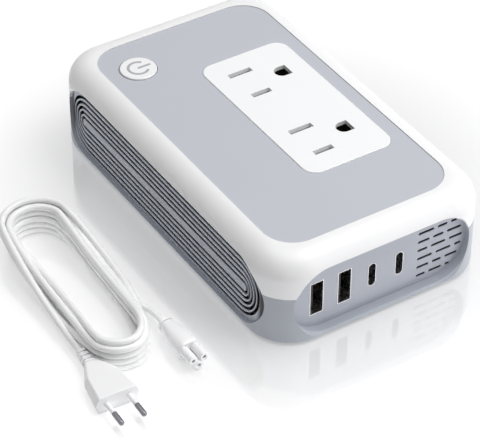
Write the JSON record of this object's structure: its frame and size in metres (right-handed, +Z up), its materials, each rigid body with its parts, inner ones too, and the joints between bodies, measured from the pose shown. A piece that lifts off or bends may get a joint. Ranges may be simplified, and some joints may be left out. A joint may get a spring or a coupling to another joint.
{
  "type": "travel voltage converter",
  "caption": "Flat rounded travel voltage converter with two mains outlets, USB charging ports, slotted side vents and a coiled mains lead.",
  "frame": {"origin": "on the table, under the middle of the case", "axes": "+Z up, +Y along the case towards its mains inlet, so the charging ports face -Y"},
  "size_m": [0.137, 0.137, 0.0322],
  "materials": {
    "cover_white": "satin moulded white plastic",
    "base_grey": "fine matt grey plastic",
    "panel_grey": "fine matt grey plastic",
    "inlay_grey": "smooth matt light blue-grey plastic",
    "socket_white": "smooth white plastic",
    "symbol_grey": "printed grey mark",
    "shutter_grey": "matt grey plastic",
    "housing_black": "matt black plastic",
    "port_steel": "bright plated steel",
    "port_black": "matt black plastic",
    "contact_brass": "plain brass",
    "pin_nickel": "nickel plated",
    "board_green": "green circuit board",
    "ferrite": "dark matt ferrite",
    "winding_yellow": "taped winding",
    "can_black": "sleeved can",
    "copper_wire": "enamelled copper wire",
    "sink_aluminium": "extruded aluminium",
    "fuse_glass": "clear glass with plated caps",
    "terminal_green": "green plastic",
    "fan_black": "matt black plastic",
    "foot_rubber": "matt rubber",
    "screw_steel": "zinc plated",
    "wire_sheath": "insulated wire",
    "cord_white": "smooth satin white cord",
    "plug_white": "satin white moulded plastic"
  },
  "bodies": {
    "case": {"ac_inlet_body": "housing_black", "ac_inlet_pins": "pin_nickel", "base_shell": "base_grey", "board_screws": "screw_steel", "button_switch": "housing_black", "capacitors": "can_black", "case_screws": "screw_steel", "earth_bus": "contact_brass", "fan_frame": "fan_black", "front_outlet_housing": "housing_black", "front_panel": "panel_grey", "fuse": "fuse_glass", "fuse_clips": "pin_nickel", "heat_sink": "sink_aluminium", "inductor_core": "ferrite", "inductor_windings": "copper_wire", "inlet_wires": "wire_sheath", "left_vent_panel": "panel_grey", "line_bus": "contact_brass", "main_board": "board_green", "neutral_bus": "contact_brass", "outlet_wires": "wire_sheath", "rear_outlet_housing": "housing_black", "rear_panel": "panel_grey", "right_vent_panel": "panel_grey", "rubber_feet": "foot_rubber", "socket_plate": "socket_white", "switch_board": "board_green", "terminal_block": "terminal_green", "top_cover": "cover_white", "top_panel": "inlay_grey", "transformer_core": "ferrite", "transformer_winding": "winding_yellow", "transistors": "housing_black", "usb_a_port_1": "port_steel", "usb_a_port_2": "port_steel", "usb_a_tongue_1": "port_black", "usb_a_tongue_2": "port_black", "usb_board": "board_green", "usb_c_port_1": "port_steel", "usb_c_port_2": "port_steel", "usb_c_tongue_1": "port_black", "usb_c_tongue_2": "port_black"},
    "power_button": {"power_button": "cover_white", "button_symbol": "symbol_grey", "switch_plunger": "housing_black"},
    "rear_shutter": {"rear_outlet_shutter": "shutter_grey"},
    "front_shutter": {"front_outlet_shutter": "shutter_grey"},
    "fan": {"fan_rotor": "fan_black"},
    "lead": {"lead_hank": "cord_white", "lead_connector_run": "cord_white", "lead_plug_run": "cord_white", "plug_body": "plug_white", "plug_strain_relief": "plug_white", "plug_pins": "pin_nickel", "plug_pin_sleeves": "plug_white", "connector_body": "plug_white", "connector_barrels": "plug_white", "connector_contacts": "contact_brass"}
  },
  "joints": [
    {"name": "power_button_press", "type": "slide", "parent": "case", "child": "power_button", "axis": [0, 0, -1], "range_m": [0, 0.0008], "stiffness_N_per_m": 1500},
    {"name": "rear_shutter_slide", "type": "slide", "parent": "case", "child": "rear_shutter", "axis": [0, 1, 0], "range_m": [0, 0.0032], "stiffness_N_per_m": 120},
    {"name": "front_shutter_slide", "type": "slide", "parent": "case", "child": "front_shutter", "axis": [0, 1, 0], "range_m": [0, 0.0032], "stiffness_N_per_m": 120},
    {"name": "fan_spin", "type": "hinge", "parent": "case", "child": "fan", "pos_m": [0.021, -0.054, 0.0132], "axis": [0, 1, 0], "continuous": true},
    {"name": "lead_lift", "type": "slide", "parent": "case", "child": "lead", "axis": [0, 0, 1], "range_m": [0, 0.08]}
  ]
}
